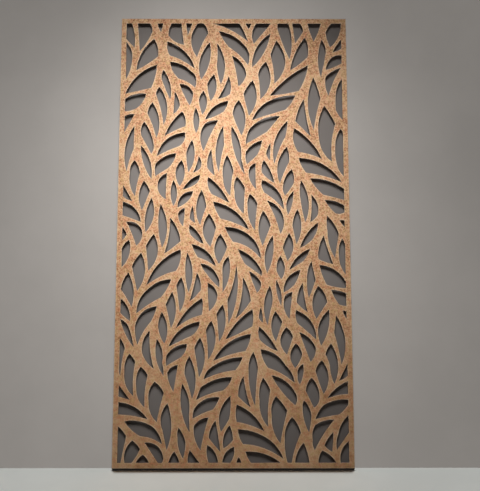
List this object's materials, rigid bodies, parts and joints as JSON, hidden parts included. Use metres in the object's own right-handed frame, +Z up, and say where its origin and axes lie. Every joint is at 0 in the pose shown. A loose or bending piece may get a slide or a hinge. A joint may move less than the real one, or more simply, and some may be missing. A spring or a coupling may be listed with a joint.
{
  "type": "laser cut metal screen",
  "caption": "Upright laser-cut metal screen with a foliage pattern and rust patina, stud-fixed to a slim angle-steel frame with bolt holes in its uprights and floor pads.",
  "frame": {"origin": "on the floor under the pads, in the middle of the screen's width and of its depth", "axes": "+X to the right seen from the front, -Y out of the patterned front face, +Z up along the height"},
  "size_m": [1.24, 0.028, 2.41],
  "materials": {
    "rust_sheet": "matt, mottled and granular orange-brown rust patina on weathering steel sheet",
    "frame_steel": "matt dark brown paint on rolled steel angle and plate",
    "zinc_fixings": "dull zinc plating on studs, washers, lock nuts and screws",
    "pad_rubber": "matt black rubber"
  },
  "bodies": {
    "root": {"screen_sheet": "rust_sheet", "stile_left": "frame_steel", "stile_right": "frame_steel", "rail_top": "frame_steel", "rail_bottom": "frame_steel", "corner_plate_top_left": "frame_steel", "corner_plate_top_right": "frame_steel", "corner_plate_bottom_left": "frame_steel", "corner_plate_bottom_right": "frame_steel", "weld_studs": "zinc_fixings", "washers": "zinc_fixings", "lock_nuts": "zinc_fixings", "foot_pad_left": "pad_rubber", "foot_pad_middle": "pad_rubber", "foot_pad_right": "pad_rubber", "foot_screws": "zinc_fixings"}
  },
  "joints": []
}
